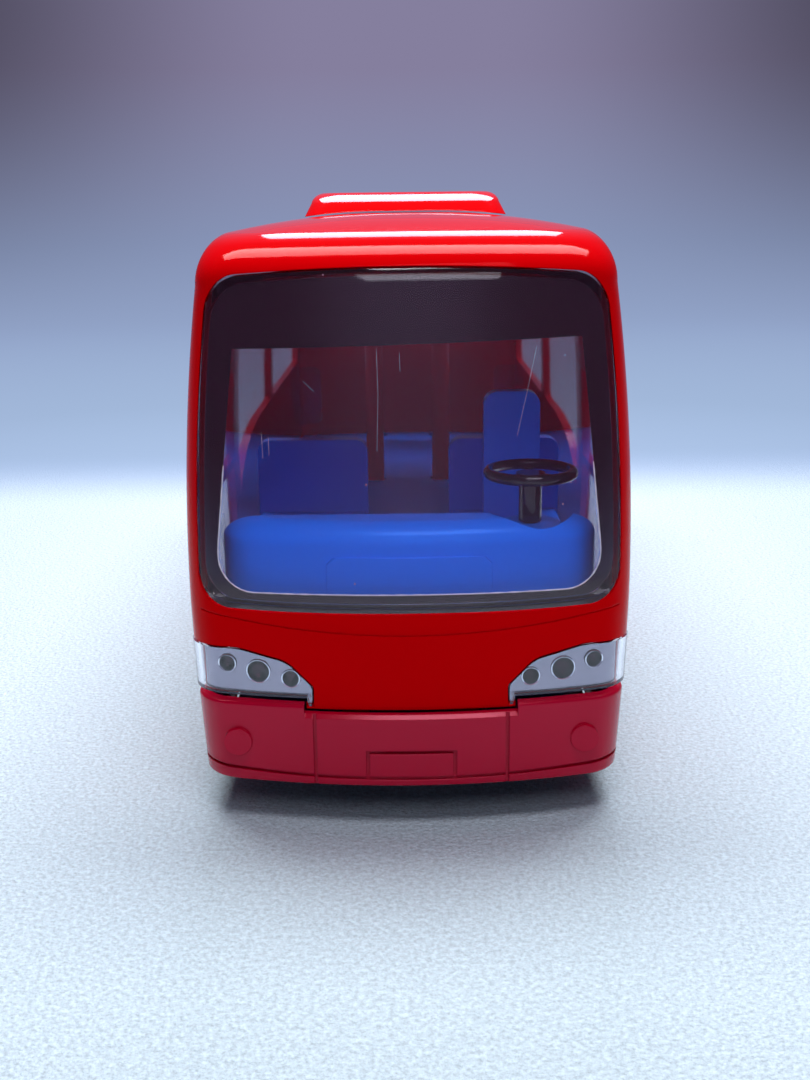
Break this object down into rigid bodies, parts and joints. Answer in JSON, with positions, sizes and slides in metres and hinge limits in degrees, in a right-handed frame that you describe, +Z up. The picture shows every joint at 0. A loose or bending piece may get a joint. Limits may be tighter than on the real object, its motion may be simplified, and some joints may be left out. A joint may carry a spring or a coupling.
{
  "type": "toy bus",
  "caption": "Toy coach with a clear windscreen over a moulded cabin, a turning steering wheel, and rolling wheels geared to a friction drive with a flywheel.",
  "frame": {"origin": "middle of the bounding box's base, on the ground under the tyres", "axes": "+Z up, -Y towards the front of the bus, +X towards the side where the driver sits"},
  "size_m": [0.0798, 0.236, 0.1103],
  "materials": {
    "gloss_red": "polished opaque red moulding",
    "satin_red": "satin crimson moulding",
    "cabin_blue": "bright blue moulding",
    "clear": "clear moulding",
    "lamp_silver": "silvered moulding",
    "lamp_red": "red lamp moulding",
    "black": "black moulding",
    "tyre": "black rubber",
    "hub": "silver painted moulding",
    "steel": "plain steel",
    "gear_white": "natural white moulding"
  },
  "bodies": {
    "body": {"body_shell": "gloss_red", "roof_pod": "gloss_red", "front_bumper": "satin_red", "rear_bumper": "satin_red", "windscreen": "clear", "side_glass_left": "clear", "side_glass_right": "clear", "rear_window": "clear", "headlamp_lens_left": "clear", "headlamp_lens_right": "clear", "headlamp_reflector_left": "lamp_silver", "headlamp_reflector_right": "lamp_silver", "tail_lamp_left": "lamp_red", "tail_lamp_right": "lamp_red", "chassis": "black", "cabin": "cabin_blue", "screw_front_left": "steel", "screw_front_right": "steel", "screw_middle_left": "steel", "screw_middle_right": "steel", "screw_rear_left": "steel", "screw_rear_right": "steel", "motor_screw_front": "steel", "motor_screw_rear": "steel", "motor_case": "gear_white", "motor_cover": "gear_white"},
    "front_wheelset": {"front_axle": "steel", "hub_front_left": "hub", "hub_front_right": "hub", "tyre_front_left": "tyre", "tyre_front_right": "tyre"},
    "rear_wheelset": {"rear_axle": "steel", "axle_gear": "gear_white", "hub_rear_left": "hub", "hub_rear_right": "hub", "tyre_rear_left": "tyre", "tyre_rear_right": "tyre"},
    "transfer_gear": {"transfer_gear": "gear_white", "transfer_shaft": "steel"},
    "flywheel": {"flywheel": "steel", "flywheel_pinion": "gear_white", "flywheel_shaft": "steel"},
    "steering_wheel": {"steering_wheel": "black"}
  },
  "joints": [
    {"name": "rear_axle_spin", "type": "hinge", "parent": "body", "child": "rear_wheelset", "pos_m": [0, 0.06, 0.013], "axis": [1, 0, 0], "continuous": true},
    {"name": "front_axle_spin", "type": "hinge", "parent": "body", "child": "front_wheelset", "pos_m": [0, -0.046, 0.013], "axis": [1, 0, 0], "continuous": true},
    {"name": "transfer_gear_spin", "type": "hinge", "parent": "body", "child": "transfer_gear", "pos_m": [0, 0.0677, 0.01659], "axis": [1, 0, 0], "continuous": true},
    {"name": "flywheel_spin", "type": "hinge", "parent": "body", "child": "flywheel", "pos_m": [0, 0.07706, 0.01494], "axis": [1, 0, 0], "continuous": true},
    {"name": "steering_wheel_turn", "type": "hinge", "parent": "body", "child": "steering_wheel", "pos_m": [0.0222, -0.0975, 0.048], "axis": [0, 0, 1], "continuous": true}
  ],
  "couplings": [
    {"joint": "transfer_gear_spin", "follows": "rear_axle_spin", "ratio": -1.8333},
    {"joint": "flywheel_spin", "follows": "rear_axle_spin", "ratio": 3.9722}
  ]
}
